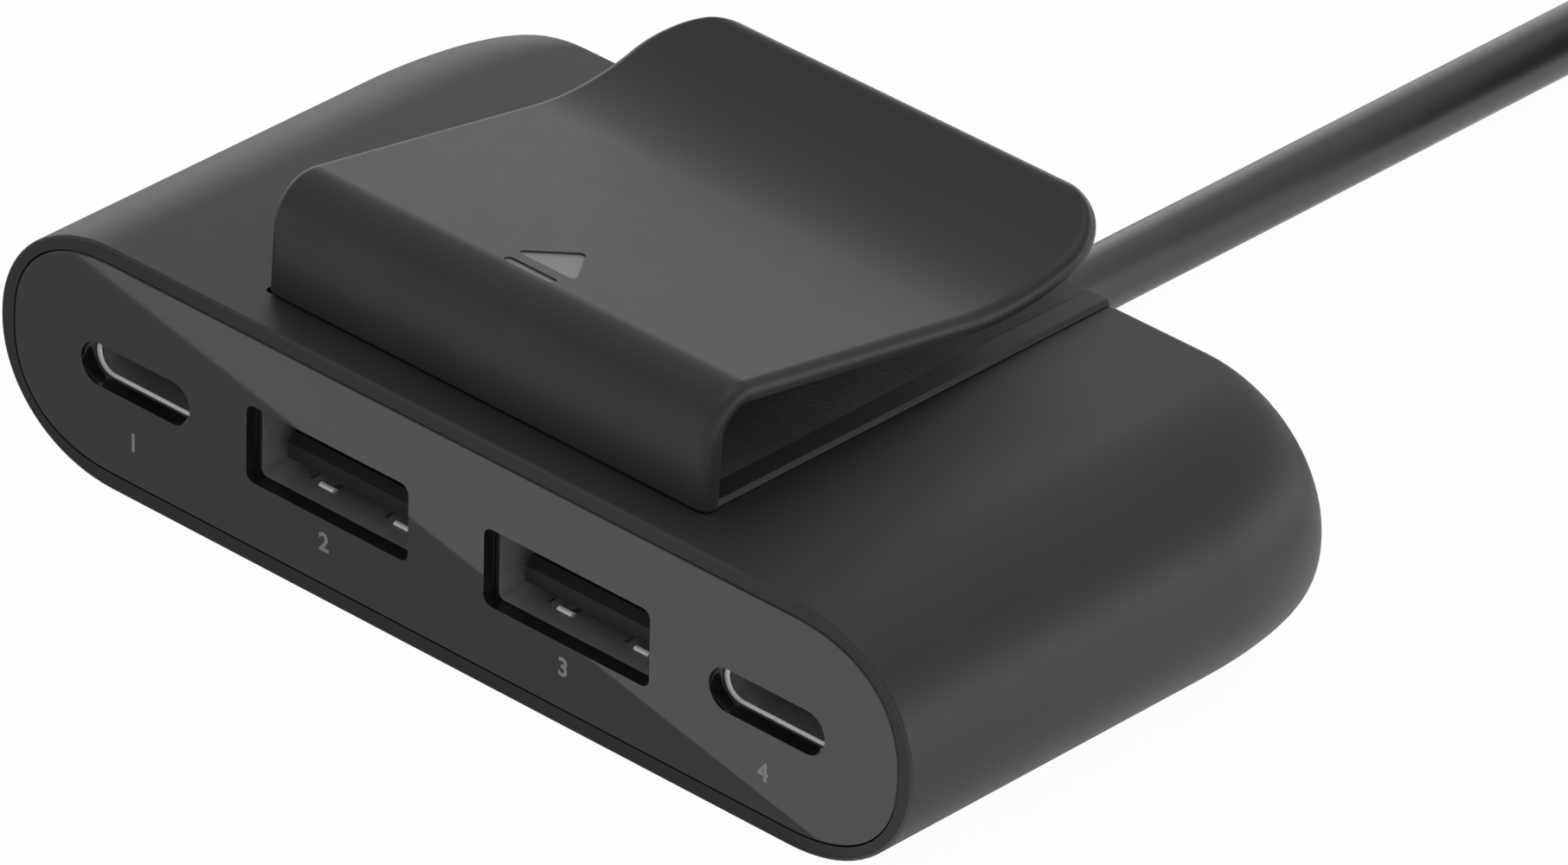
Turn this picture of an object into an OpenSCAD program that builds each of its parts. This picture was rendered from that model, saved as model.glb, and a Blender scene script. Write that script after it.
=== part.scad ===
// Four-port USB power strip on a lead, with a slide-on spring clip.
// The origin is at the middle of the base. +X is to the right of somebody who faces
// the ports, +Y runs from the ports to the lead, +Z is up. All sizes are in millimetres.

/* [Housing] */
// Width of the housing, side to side
body_w = 74; // [72:1:80]
// Depth of the housing, ports to lead
body_d = 37.3; // [36:0.1:44]
// Height of the housing, without the clip
body_h = 16.4; // [16:0.1:18]
// Length of each rounded end, measured along the width
cap_len = 9.4; // [8.6:0.1:11]
// Squareness of the rounded ends, 2 is an ellipse
cap_power = 2.08; // [2:0.02:2.4]
// How far the rear corners close in, seen from above
rear_in = 2.9; // [2:0.1:4]
// Length over which the sides curve in towards the rear
rear_len = 10; // [8:0.5:15]
// Wall thickness of the housing
wall = 1.8; // [1.6:0.1:2]

/* [Faceplate] */
// Width of the flat rim round the faceplate
rim_w = 1.05; // [0.9:0.05:1.2]
// Thickness of the faceplate
plate_t = 1.4; // [1.4:0.1:1.6]
// Distance of the two outer ports from the middle
port_c_x = 25.65; // [25:0.05:26]
// Distance of the two inner ports from the middle
port_a_x = 9.73; // [9.5:0.01:10]

/* [Clip] */
// Width of the clip
clip_w = 35.6; // [34:0.2:36]
// Distance of the clip's front wall from the ports
clip_front = 2.9; // [2.8:0.1:3.4]
// Length of the clip, from its front wall to its tip
clip_len = 35; // [34.8:0.1:37]
// Thickness of the clip's wall and arm
clip_t = 1.05; // [1:0.05:1.3]
// How far the arm slopes down towards the rear, in degrees
arm_slope = 9.6; // [8:0.1:10]
// Radius of the upturned tip, seen from the side
tip_bend_r = 20; // [18:0.5:22]
// Radius of the tip's corners, seen from above
tip_corner_r = 4.6; // [4:0.2:7]

/* [Lead] */
// Diameter of the lead
cord_d = 4.1; // [3.8:0.1:4.4]
// Distance of the coil's middle from the ports
coil_y = 130; // [130:1:150]
// Diameter of the coil, at the middle of its turns
coil_d = 47; // [44:0.5:49]
// Turns side by side in one layer of the coil
coil_across = 3; // [3:1:3]
// Layers of turns in the coil
coil_layers = 4; // [4:1:4]

/* [Hidden] */
$fn = 48;
eps = 0.01;

// Colours
black_shell = [0.11, 0.11, 0.115];
black_gloss = [0.07, 0.07, 0.075];
black_rubber = [0.08, 0.08, 0.08];
steel = [0.75, 0.76, 0.78];
gold = [0.85, 0.68, 0.3];
board_green = [0.05, 0.3, 0.16];

// Housing: hollow, rims and channel
mid_z = body_h / 2;
tip_y = clip_front + clip_len;
low_y = 28;
tip_turn = asin((tip_y - low_y) / tip_bend_r);
front_y = -(tip_y + clip_t * sin(tip_turn)) / 2;
cap_steps = 12;
corner_steps = 9;
plate_gap = 0.06;
plate_h = mid_z - rim_w;
plate_cap = cap_len - 0.8;
plate_power = 2.34;
cavity_top = 5.5;
cavity_bottom = -6.6;
recess_d = plate_t;
rail_t = 1;
rail_in = 32.1;

// Channel of the clip in the top of the housing, and the clip's own leg
leg_proud = 0.28;
leg_t = 1.35;
leg_flare = 0.5;
slide_gap = 0.12;
leg_bottom = mid_z + leg_proud - leg_t;
leg_w = clip_w / 2 - 0.3;
leg_front = clip_front + 0.4;
channel_gap = 0.15;
relief_r = 0.45;
pad_t = 0.6;
pad_proud = 0.12;
pad_top = mid_z + leg_proud + pad_proud;
pad_margin = 1.7;

// Board and ports, measured from the middle of the front face
board_t = 1.2;
board_front = 3;
board_back = 30.5;
board_hw = 32.9;
port_z = -0.1;
a_open_w = 13.3;
a_open_h = 5.18;
a_open_r = 0.6;
a_front = 1;
a_len = 13.6;
a_in_w = 12.7;
a_in_h = 5.04;
sheet_t = 0.3;
board_top = port_z - a_in_h / 2 - sheet_t;
c_open_w = 9.1;
c_open_h = 2.86;
c_front = 1.45;
c_len = 7.3;
c_out_w = 8.94;
c_out_h = 3.2;

// Lead: all its points are round numbers in the frame of the front face
cord_z = -4.9;
boot_len = 7;
coil_out_r = coil_d / 2 + (coil_across - 1) * cord_d / 2;
lead_x = -1.4;
cord_route = [[0, 33.2, -4.9], [0, 37, -4.9], [0, 44, -4.9], [-0.3, 50, -5.2], [-0.8, 56, -5.6],
    [-1.2, 62, -5.95], [lead_x, 68, -6.15], [lead_x, 76, -6.15], [lead_x, 84, -6.15],
    [lead_x, 92, -6.15], [lead_x, 100, -6.15], [lead_x, 108, -6.15], [lead_x, 116, -6.15],
    [lead_x, 123, -6.15], [lead_x, 130, -6.15]];
tail_x = lead_x + 2 * coil_out_r;
tail_route = [[tail_x, 130, 6.15], [tail_x, 124, 6.15], [tail_x, 118, 6.15],
    [tail_x, 113, 5.5], [tail_x, 109, 3.6], [tail_x, 105, 0.6], [tail_x, 101, -2.4],
    [tail_x, 97, -4.3], [tail_x, 92, -5], [tail_x, 87, -5], [tail_x, 82, -5]];
plug_front = 64;
plug_z = -5;
plug_len = 20;
plug_w = 11.6;
plug_h = 6.4;
plug_neck = 8;
nose_len = 6.65;
nose_w = 8.25;
nose_h = 2.4;
nose_t = 0.25;
tie_t = 0.6;
tie_w = 6;

// Power of a number that keeps its sign
function spow(v, p) = sign(v) * pow(abs(v), p);

// Half outline of a rounded end: an upright superellipse, from its foot to its top
function end_curve(hw, h, cap, n, side) = [for (i = [0:cap_steps])
    let (t = side * (-90 + 180 * i / cap_steps))
    [side * (hw - cap + cap * spow(cos(t), 2 / n)), h * spow(sin(t), 2 / n)]];

// Closed outline with flat top and bottom and two such ends
function slab_outline(hw, h, cap, n) = concat(end_curve(hw, h, cap, n, 1),
    end_curve(hw, h, cap, n, -1));

// Half width of the housing at a distance round its rear corner
function rear_hw(a) = body_w / 2 - rear_in + rear_in * cos(a);
function rear_y(a) = body_d - rear_len + rear_len * sin(a);

// Faces that join rings of points into one closed solid
function tube_faces(rings, n) = concat(
    [[for (i = [n - 1:-1:0]) i]],
    [[for (i = [0:n - 1]) (rings - 1) * n + i]],
    [for (j = [0:rings - 2], i = [0:n - 1])
        let (k = (i + 1) % n)
        [j * n + i, (j + 1) * n + k, (j + 1) * n + i]],
    [for (j = [0:rings - 2], i = [0:n - 1])
        let (k = (i + 1) % n)
        [j * n + i, j * n + k, (j + 1) * n + k]]);

// Unit vector of v
function unit(v) = v / norm(v);

// Direction of a route at its point i
function route_dir(p, i) = unit(p[min(i + 1, len(p) - 1)] - p[max(i - 1, 0)]);

// Moves what is measured from the middle of the front face into the part's frame
module at_face() {
    translate([0, front_y, mid_z]) children();
}

// Round tube along a route, as rings of a few sides
module route_tube(route, d, sides) {
    rings = [for (i = [0:len(route) - 1])
        let (dir = route_dir(route, i), u = unit(cross(dir, [0, 0, 1])), v = cross(u, dir))
        for (k = [0:sides - 1])
            route[i] + d / 2 * (cos(360 * k / sides) * u + sin(360 * k / sides) * v)];
    polyhedron(rings, tube_faces(len(route), sides), convexity = 4);
}

// Outline of a slab, extruded from y0 to y1
module slab(hw, h, cap, n, y0, y1) {
    translate([0, y1, 0]) rotate([90, 0, 0]) linear_extrude(y1 - y0)
        polygon(slab_outline(hw, h, cap, n));
}

// Box by its corners, in the order x, y, z
module block(lo, hi) {
    translate(lo) cube(hi - lo);
}

// Oval or rounded outline in the plane of the front face, extruded from y0 to y1
module rounded_bar(w, h, r, y0, y1) {
    translate([0, y1, 0]) rotate([90, 0, 0]) linear_extrude(y1 - y0) union() {
        square([w - 2 * r, h], center = true);
        if (h > 2 * r + eps) square([w, h - 2 * r], center = true);
        for (sx = [-1, 1], sz = [-1, 1])
            translate([sx * (w / 2 - r), sz * (h / 2 - r)]) circle(r);
    }
}

// Rear corners of the housing: the end section closes in along a quarter circle
module rear_end() {
    n = 2 * (cap_steps + 1);
    points = [for (j = [0:corner_steps])
        let (a = 90 * j / corner_steps)
        for (p = slab_outline(rear_hw(a), mid_z, cap_len, cap_power))
            [p[0], rear_y(a), p[1]]];
    polyhedron(points, tube_faces(corner_steps + 1, n), convexity = 4);
}

// Plan outline of the hollow, extruded over the whole height
module cavity_plan() {
    hw = body_w / 2 - wall;
    back = body_d - wall;
    r = 4;
    translate([0, 0, -mid_z]) linear_extrude(body_h) union() {
        translate([-hw, -1]) square([2 * hw, back - r + 1]);
        translate([r - hw, -1]) square([2 * (hw - r), back + 1]);
        for (s = [-1, 1]) translate([s * (hw - r), back - r]) circle(r);
    }
}

// Hollow of the housing behind the faceplate
module cavity() {
    intersection() {
        slab(body_w / 2 - wall, mid_z - wall / 2, cap_len - wall / 2, cap_power,
            recess_d - eps, body_d - wall);
        block([-body_w / 2, 0, cavity_bottom], [body_w / 2, body_d, cavity_top]);
        cavity_plan();
    }
}

// Section of the clip's leg and its channel: upright sides with a flare below
module leg_section(gap) {
    w = leg_w + gap;
    low = leg_bottom - gap;
    polygon([[-w - leg_flare, low], [w + leg_flare, low], [w + leg_flare, low + 0.35 + gap],
        [w, low + 0.8 + gap], [w, mid_z + 1], [-w, mid_z + 1],
        [-w, low + 0.8 + gap], [-w - leg_flare, low + 0.35 + gap]]);
}

// Channel that the clip slides into from the rear, with a round relief at its front corners
module channel() {
    translate([0, body_d + 1, 0]) rotate([90, 0, 0])
        linear_extrude(body_d + 1 - leg_front + channel_gap) leg_section(slide_gap);
    for (s = [-1, 1]) translate([s * (leg_w + slide_gap), leg_front + channel_gap, leg_bottom])
        cylinder(h = 3, r = relief_r);
}

// Two rails on each side that hold the edge of the board
module rails() {
    intersection() {
        union() for (s = [0, 1], z = [board_top + 0.05, board_top - board_t - rail_t])
            mirror([s, 0, 0])
            block([rail_in, board_front + 2, z], [body_w / 2 - 1, 23, z + rail_t]);
        slab(body_w / 2 - 1, mid_z - wall / 2, cap_len, cap_power, 0, body_d);
    }
}

// Snap slots for the faceplate's hooks
module snap_slots() {
    for (x = [-18, 18]) block([x - 2.6, recess_d + 1.15, cavity_bottom - 0.45],
        [x + 2.6, recess_d + 2.55, cavity_bottom + 1]);
    for (x = [-22, 22]) block([x - 2.6, recess_d + 1.15, cavity_top - 1],
        [x + 2.6, recess_d + 2.55, cavity_top + 0.45]);
}

module housing() {
    color(black_shell) at_face() {
        difference() {
            union() {
                slab(body_w / 2, mid_z, cap_len, cap_power, 0, body_d - rear_len);
                rear_end();
            }
            slab(body_w / 2 - rim_w, plate_h, plate_cap, plate_power, -1, recess_d);
            cavity();
            channel();
            snap_slots();
            translate([0, body_d - 3, cord_z]) rotate([-90, 0, 0]) cylinder(h = 4, r = 2.9);
        }
        rails();
    }
}

// One hook of the faceplate: an arm with a barb, in the plane x = 0
module snap_hook(z_wall, s) {
    translate([-2.2, 0, 0]) rotate([90, 0, 90]) linear_extrude(4.4)
        polygon([[plate_t - eps, z_wall - s * 0.25], [recess_d + 1.3, z_wall - s * 0.25],
            [recess_d + 1.4, z_wall + s * 0.3], [recess_d + 1.7, z_wall + s * 0.3],
            [recess_d + 2.4, z_wall - s * 0.5], [recess_d + 2.4, z_wall - s * 1.2],
            [plate_t - eps, z_wall - s * 1.2]]);
}

module faceplate() {
    color(black_gloss) at_face() difference() {
        union() {
            slab(body_w / 2 - rim_w - plate_gap, plate_h - plate_gap, plate_cap - plate_gap,
                plate_power, 0, plate_t);
            for (x = [-18, 18]) translate([x, 0, 0]) snap_hook(cavity_bottom, -1);
            for (x = [-22, 22]) translate([x, 0, 0]) snap_hook(cavity_top, 1);
        }
        for (s = [-1, 1]) {
            translate([s * port_a_x, 0, port_z])
                rounded_bar(a_open_w, a_open_h, a_open_r, -1, plate_t + 1);
            translate([s * port_a_x, 0, port_z])
                rounded_bar(a_in_w + 2 * sheet_t + 0.2, a_in_h + 2 * sheet_t + 0.2, 0.8,
                    a_front - 0.05, plate_t + 1);
            translate([s * port_c_x, 0, port_z])
                rounded_bar(c_open_w, c_open_h, c_open_h / 2, -1, plate_t + 1);
        }
    }
}

// Side view of the clip's outer face: wall, bend, sloping arm and upturned tip
wall_lean = 3;
bend_r = 3;
low_z = 12.15;
wall_turn = 90 - wall_lean;
arm_y0 = low_y - tip_bend_r * sin(arm_slope);
arm_z0 = low_z + tip_bend_r * (1 - cos(arm_slope));
wall_foot = [clip_front, mid_z + slide_gap + clip_t * cos(wall_turn)];

// Where the wall's line meets the arm's line, and the tangent points of the bend
corner_y = (arm_z0 + tan(arm_slope) * arm_y0 - wall_foot[1] + wall_foot[0] / tan(wall_lean))
    / (1 / tan(wall_lean) + tan(arm_slope));
corner_z = arm_z0 + tan(arm_slope) * (arm_y0 - corner_y);
bend_turn = wall_turn + arm_slope;
bend_t = bend_r * tan(bend_turn / 2);
bend_start = [corner_y - bend_t * cos(wall_turn), corner_z - bend_t * sin(wall_turn)];
bend_mid = bend_start + bend_r * [sin(wall_turn), -cos(wall_turn)];
bend_steps = 8;
arc_steps = 7;
tip_steps = 9;
edge_r = 0.75;
edge_flat = 0.08;
edge_steps = 3;
corner_y0 = tip_y - tip_corner_r;
corner_turn = asin(1 - edge_r / tip_corner_r);

// Station of the outer face on the tip's arc: [y, z, direction, depth below the face]
function tip_station(y, drop) = let (a = asin((y - low_y) / tip_bend_r))
    [y, low_z + tip_bend_r * (1 - cos(a)), a, drop];

// Stations of the outer face, from the foot of the wall to the tip
clip_path = concat(
    [[wall_foot[0], wall_foot[1], wall_turn, 0]],
    [for (i = [0:bend_steps])
        let (a = wall_turn - bend_turn * i / bend_steps)
        [bend_mid[0] - bend_r * sin(a), bend_mid[1] + bend_r * cos(a), a, 0]],
    [for (i = [0:arc_steps - 1]) tip_station(arm_y0 + (corner_y0 - arm_y0) * i / arc_steps, 0)],
    [for (i = [0:tip_steps]) tip_station(corner_y0 + tip_corner_r * sin(corner_turn * i / tip_steps), 0)],
    [for (i = [1:edge_steps]) let (a = 90 * i / edge_steps)
        tip_station(tip_y - edge_r + edge_r * sin(a), edge_r * (1 - cos(a)))]);

// Half width of the clip where its path is at y, with round corners at the tip
function clip_hw(y) = let (d = max(0, y - corner_y0))
    clip_w / 2 - tip_corner_r + sqrt(max(0.01, pow(tip_corner_r, 2) - d * d));

// Section across the clip: flat inside, rounded outer edges, as [x, depth below outer face]
function clip_section(hw, drop) = let (r = min(edge_r, clip_t - drop - edge_flat)) concat(
    [[-hw, clip_t], [hw, clip_t]],
    [for (i = [0:edge_steps]) let (a = 90 * i / edge_steps)
        [hw - r + r * cos(a), drop + r - r * sin(a)]],
    [for (i = [0:edge_steps]) let (a = 90 + 90 * i / edge_steps)
        [r - hw + r * cos(a), drop + r - r * sin(a)]]);

// Wall and arm of the clip, swept along the path
module clip_arm() {
    n = 2 * (edge_steps + 1) + 2;
    points = [for (s = clip_path) for (p = clip_section(clip_hw(s[0]), s[3]))
        [p[0], s[0] + p[1] * sin(s[2]), s[1] - p[1] * cos(s[2])]];
    polyhedron(points, tube_faces(len(clip_path), n), convexity = 6);
}

// Eject mark, sunk in the arm: a bar, and a triangle that points to the rear
mark_w = 4.2;
mark_depth = 0.25;
module eject_mark() {
    translate([0, arm_y0, arm_z0]) rotate([-arm_slope, 0, 0]) translate([0, 0, -mark_depth])
        linear_extrude(3) {
            translate([-mark_w / 2, 6.5 - arm_y0]) square([mark_w, 0.6]);
            polygon([[-1.9, 7.8 - arm_y0], [1.9, 7.8 - arm_y0], [2.2, 8.2 - arm_y0],
                [0.4, 10.9 - arm_y0], [-0.4, 10.9 - arm_y0], [-2.2, 8.2 - arm_y0]]);
        }
}

// Leg of the clip, cut off just above the housing
module clip_leg() {
    translate([0, body_d, 0]) rotate([90, 0, 0]) linear_extrude(body_d - leg_front)
        intersection() {
            leg_section(0);
            translate([-body_w / 2, -mid_z]) square([body_w, 2 * mid_z + leg_proud]);
        }
}

module clip() {
    color(black_shell) at_face() difference() {
        union() {
            clip_arm();
            clip_leg();
        }
        eject_mark();
        pad_block(1);
    }
}

// Room of the grip pad in the leg, open at the rear
module pad_block(over) {
    block([pad_margin - leg_w, clip_front + 3, pad_top - pad_t],
        [leg_w - pad_margin, body_d + over, pad_top + over * pad_proud]);
}

module grip_pad() {
    color(black_rubber) at_face() pad_block(0);
}

// Board with clipped corners, slots for the shells' legs and holes for the lead
module circuit_board() {
    c = 3;
    color(board_green) at_face() translate([0, 0, board_top - board_t])
        linear_extrude(board_t) difference() {
            polygon([[-board_hw, board_front], [board_hw, board_front],
                [board_hw, board_back - c], [board_hw - c, board_back],
                [c - board_hw, board_back], [-board_hw, board_back - c]]);
            for (s = [-1, 1]) translate([s * wire_x, wire_y]) circle(0.7);
            for (s = [-1, 1], t = [-1, 1])
                translate([s * port_a_x + t * leg_a_x - 0.25, leg_a_y - 0.1]) square([0.5, 1.8]);
        }
}

// Steel shell of an inner port: folded sheet with springs pressed out of its floor and roof
leg_a_x = a_in_w / 2 + sheet_t / 2;
leg_a_y = 8;
spring_x = 3.1;
spring_w = 1.5;
spring_y = 2.7;
spring_len = 4.4;
module spring_window() {
    block([-spring_w / 2 - 0.3, spring_y, -1],
        [spring_w / 2 + 0.3, spring_y + spring_len + 0.3, 1]);
}

// Spring tongue, in the plane of the floor at z = 0, bent up by its height
module spring() {
    translate([-spring_w / 2, 0, 0]) rotate([90, 0, 90]) linear_extrude(spring_w)
        polygon([[spring_y - 0.1, -sheet_t], [spring_y - 0.1, 0],
            [spring_y + 0.7 * spring_len, 0.45], [spring_y + spring_len, 0.25],
            [spring_y + spring_len, 0], [spring_y + 0.7 * spring_len, 0.2],
            [spring_y + 0.3, -sheet_t]]);
}

module usb_a_shell(s) {
    floor_z = -a_in_h / 2;
    color(steel) at_face() translate([s * port_a_x, 0, port_z]) {
        difference() {
            rounded_bar(a_in_w + 2 * sheet_t, a_in_h + 2 * sheet_t, 0.75, a_front, a_front + a_len);
            rounded_bar(a_in_w, a_in_h, 0.45, a_front - 1, a_front + a_len + 1);
            for (x = [-spring_x, spring_x], m = [0, 1]) mirror([0, 0, m])
                translate([x, 0, floor_z - sheet_t / 2]) spring_window();
        }
        for (x = [-spring_x, spring_x], m = [0, 1]) mirror([0, 0, m])
            translate([x, 0, floor_z]) spring();
        for (t = [-1, 1]) translate([t * leg_a_x, 0, 0])
            block([-sheet_t / 2, leg_a_y, floor_z - sheet_t - board_t + 0.1],
                [sheet_t / 2, leg_a_y + 1.6, floor_z + 0.6]);
    }
}

// Insulator of an inner port: rear block and a tongue in the lower half
tongue_y = 2.28;
tongue_w = 11;
tongue_lo = -1.82;
tongue_hi = 0.02;
contact_a_x = [-3.5, -1, 1, 3.5];
base_y = a_front + a_len - 2.6;
module contacts_a() {
    for (x = contact_a_x) {
        block([x - 0.5, tongue_y + 1.1, tongue_hi - 0.2],
            [x + 0.5, a_front + a_len + 0.6, tongue_hi + 0.03]);
        block([x - 0.5, a_front + a_len + 0.35, -a_in_h / 2 - sheet_t],
            [x + 0.5, a_front + a_len + 0.6, tongue_hi]);
    }
}

module usb_a_tongue(s) {
    color(black_rubber) at_face() translate([s * port_a_x, 0, port_z]) difference() {
        union() {
            translate([-tongue_w / 2, 0, 0]) rotate([90, 0, 90]) linear_extrude(tongue_w)
                polygon([[tongue_y, tongue_lo + 0.3], [tongue_y + 0.4, tongue_lo],
                    [base_y + 0.1, tongue_lo], [base_y + 0.1, tongue_hi],
                    [tongue_y + 0.55, tongue_hi], [tongue_y, tongue_hi - 0.5]]);
            block([-a_in_w / 2 + 0.5, base_y, -a_in_h / 2],
                [a_in_w / 2 - 0.5, a_front + a_len, a_in_h / 2]);
        }
        contacts_a();
    }
}

module usb_a_contacts(s) {
    color(gold) at_face() translate([s * port_a_x, 0, port_z]) contacts_a();
}

// Steel shell of an outer port, an oval tube on four legs
module usb_c_shell(s) {
    color(steel) at_face() translate([s * port_c_x, 0, port_z]) {
        difference() {
            rounded_bar(c_out_w, c_out_h, c_out_h / 2, c_front, c_front + c_len);
            rounded_bar(c_out_w - 2 * sheet_t, c_out_h - 2 * sheet_t, c_out_h / 2 - sheet_t,
                c_front - 1, c_front + c_len + 1);
        }
        for (t = [0, 1], y = [c_front + 2.6, c_front + 5.6]) mirror([t, 0, 0])
            block([c_out_w / 2 - sheet_t, y, board_top - port_z], [c_out_w / 2, y + 1.2, 0]);
    }
}

// Insulator of an outer port: thin tongue, rear block and a foot on the board
c_tongue_y = 2.7;
c_tongue_w = 6.7;
c_tongue_t = 0.7;
c_rear = c_front + c_len;
c_pitch = 0.5;
c_pads = 12;
module contacts_c() {
    for (i = [0:c_pads - 1], m = [0, 1]) mirror([0, 0, m])
        translate([(i - (c_pads - 1) / 2) * c_pitch, 0, 0])
            block([-0.13, c_tongue_y + 0.9, c_tongue_t / 2 - 0.1],
                [0.13, c_rear + 0.3, c_tongue_t / 2 + 0.02]);
}

module usb_c_tongue(s) {
    in_w = c_out_w - 2 * sheet_t - 0.06;
    in_h = c_out_h - 2 * sheet_t - 0.06;
    color(black_rubber) at_face() translate([s * port_c_x, 0, port_z]) difference() {
        union() {
            block([-c_tongue_w / 2, c_tongue_y, -c_tongue_t / 2],
                [c_tongue_w / 2, c_rear, c_tongue_t / 2]);
            rounded_bar(in_w, in_h, in_h / 2, c_rear - 1.6, c_rear + 0.1);
            block([-4, c_rear + 0.05, board_top - port_z], [4, c_rear + 0.9, c_out_h / 2]);
            block([-4, c_rear - 3.2, board_top - port_z], [4, c_rear + 0.2, -c_out_h / 2]);
        }
        contacts_c();
    }
}

module usb_c_contacts(s) {
    color(gold) at_face() translate([s * port_c_x, 0, port_z]) contacts_c();
}

// Power parts on the board behind the ports
coil_part_x = 9.7;
coil_part_y = 21.5;
can_places = [[-20.5, 20.5], [20.5, 20.5], [0, 21.5]];
chip_places = [[-26.5, 14], [26.5, 14], [0, 13]];
wire_x = 2.2;
wire_y = 28.4;
module power_inductors() {
    color([0.25, 0.25, 0.26]) at_face() for (s = [-1, 1])
        translate([s * coil_part_x, coil_part_y, board_top]) difference() {
            linear_extrude(4.2) polygon([[-3.5, -2.5], [-2.5, -3.5], [2.5, -3.5], [3.5, -2.5],
                [3.5, 2.5], [2.5, 3.5], [-2.5, 3.5], [-3.5, 2.5]]);
            translate([0, 0, 3.9]) difference() {
                cylinder(h = 1, r = 2.9);
                translate([0, 0, -1]) cylinder(h = 3, r = 2.4);
            }
        }
}

module filter_capacitors() {
    color([0.7, 0.7, 0.72]) at_face() for (p = can_places) translate([p[0], p[1], board_top]) {
        linear_extrude(0.8) polygon([[-2.6, -2.6], [1.8, -2.6], [2.6, -1.8], [2.6, 1.8],
            [1.8, 2.6], [-2.6, 2.6]]);
        rotate_extrude() polygon([[0, 0.7], [2.5, 0.7], [2.5, 1.3], [2.3, 1.6], [2.5, 1.9],
            [2.5, 5.8], [2.2, 6.1], [0, 6.1]]);
    }
}

module port_controllers() {
    color(black_shell) at_face() for (p = chip_places) translate([p[0], p[1], board_top])
        difference() {
            block([-2.5, -2.5, 0], [2.5, 2.5, 0.9]);
            translate([-1.8, 1.8, 0.8]) cylinder(h = 1, r = 0.35);
        }
}

module chip_components() {
    color([0.5, 0.42, 0.3]) at_face() for (s = [-1, 1], i = [0:3]) {
        translate([s * (15.2 + 2.2 * i), 25.8, board_top]) block([-0.6, -1, 0], [0.6, 1, 0.9]);
        translate([s * (17.6 + 1.5 * i), 11.4, board_top]) block([-0.45, -0.8, 0], [0.45, 0.8, 0.6]);
    }
}

// Two cores of the lead, bent up over the rear edge of the board
function wire_route(s) = [[s * 0.9, 33.2, -4.9], [s * 1, 32.5, -4.6], [s * 1.3, 31.9, -3.6],
    [s * 1.7, 31.2, -2.4], [s * 2, 30.3, -1.7], [s * 2.2, 29.4, -1.6], [s * 2.2, 28.7, -1.9],
    [s * 2.2, 28.4, -2.6]];
module lead_wires() {
    color("firebrick") at_face() for (s = [-1, 1]) {
        route_tube(wire_route(s), 1.2, 8);
        translate([s * wire_x, wire_y, board_top]) cylinder(h = 0.6, r1 = 1.1, r2 = 0.7);
    }
}

// Boot that holds the lead: a flange inside, a neck in the wall and a ribbed taper outside
boot_ribs = 3;
module strain_relief() {
    color(black_rubber) at_face() translate([0, 0, cord_z]) difference() {
        union() {
            block([-4.2, 33.6, cavity_bottom + 0.1 - cord_z], [4.2, body_d - wall, 2.8]);
            rotate([-90, 0, 0]) rotate_extrude() polygon(concat(
                [[0, 34], [2.85, 34], [2.85, body_d], [3.15, body_d], [3.15, body_d + 0.7]],
                [for (i = [0:boot_ribs - 1], k = [0:3])
                    let (y = body_d + 1 + 1.9 * i + [0, 0.6, 0.6, 1.9][k])
                    [2.9 - 0.18 * i - [0, 0, 0.35, 0.35][k], y]],
                [[0, body_d + boot_len]]));
        }
        translate([0, 33, 0]) rotate([-90, 0, 0]) cylinder(h = boot_len + 6, r = cord_d / 2);
    }
}

module cord() {
    color(black_rubber) at_face() route_tube(cord_route, cord_d, 10);
}

// Section of the coil's outer shape, for rotate_extrude or for the tie
module coil_section(grow) {
    w = coil_across * cord_d - 2 * grow;
    h = coil_layers * cord_d - 2 * grow;
    r = cord_d / 2 - grow;
    translate([coil_d / 2 - w / 2, grow]) union() {
        translate([r, 0]) square([w - 2 * r, h]);
        translate([0, r]) square([w, h - 2 * r]);
        for (x = [r, w - r], y = [r, h - r]) translate([x, y]) circle(r);
    }
}

module tie_band(grow, w) {
    rotate([90, 0, 90]) linear_extrude(w, center = true) coil_section(grow);
}

module at_coil() {
    at_face() translate([lead_x + coil_out_r, coil_y, -mid_z]) children();
}

module cord_coil() {
    color(black_rubber) at_coil() difference() {
        rotate_extrude($fn = 96) coil_section(0);
        difference() {
            tie_band(-1, tie_w);
            tie_band(tie_t, tie_w + 2);
        }
    }
}

module cord_tie() {
    color([0.15, 0.15, 0.15]) at_coil() difference() {
        tie_band(0, tie_w);
        tie_band(tie_t, tie_w + 2);
    }
}

module cord_tail() {
    color(black_rubber) at_face() route_tube(tail_route, cord_d, 10);
}

module at_plug() {
    at_face() translate([tail_x, plug_front, plug_z]) children();
}

module plug_body() {
    color(black_rubber) at_plug() difference() {
        union() {
            rounded_bar(plug_w, plug_h, plug_h / 2 - 0.1, 0, plug_len);
            translate([0, plug_len - 0.2, 0]) rotate([-90, 0, 0]) rotate_extrude()
                polygon([[0, 0], [3, 0], [3, 1.2], [2.6, 1.4], [2.6, 2], [2.9, 2.2], [2.85, 3.6],
                    [2.5, 3.8], [2.5, 4.4], [2.8, 4.6], [2.6, plug_neck], [0, plug_neck]]);
        }
        translate([0, plug_len - 3, 0]) rotate([-90, 0, 0])
            cylinder(h = plug_neck + 4, r = cord_d / 2);
        rounded_bar(nose_w, nose_h, nose_h / 2, -1, 3);
    }
}

module plug_shell() {
    color(steel) at_plug() difference() {
        rounded_bar(nose_w, nose_h, nose_h / 2, -nose_len, 3);
        rounded_bar(nose_w - 2 * nose_t, nose_h - 2 * nose_t, nose_h / 2 - nose_t,
            -nose_len - 1, 4);
    }
}

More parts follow.
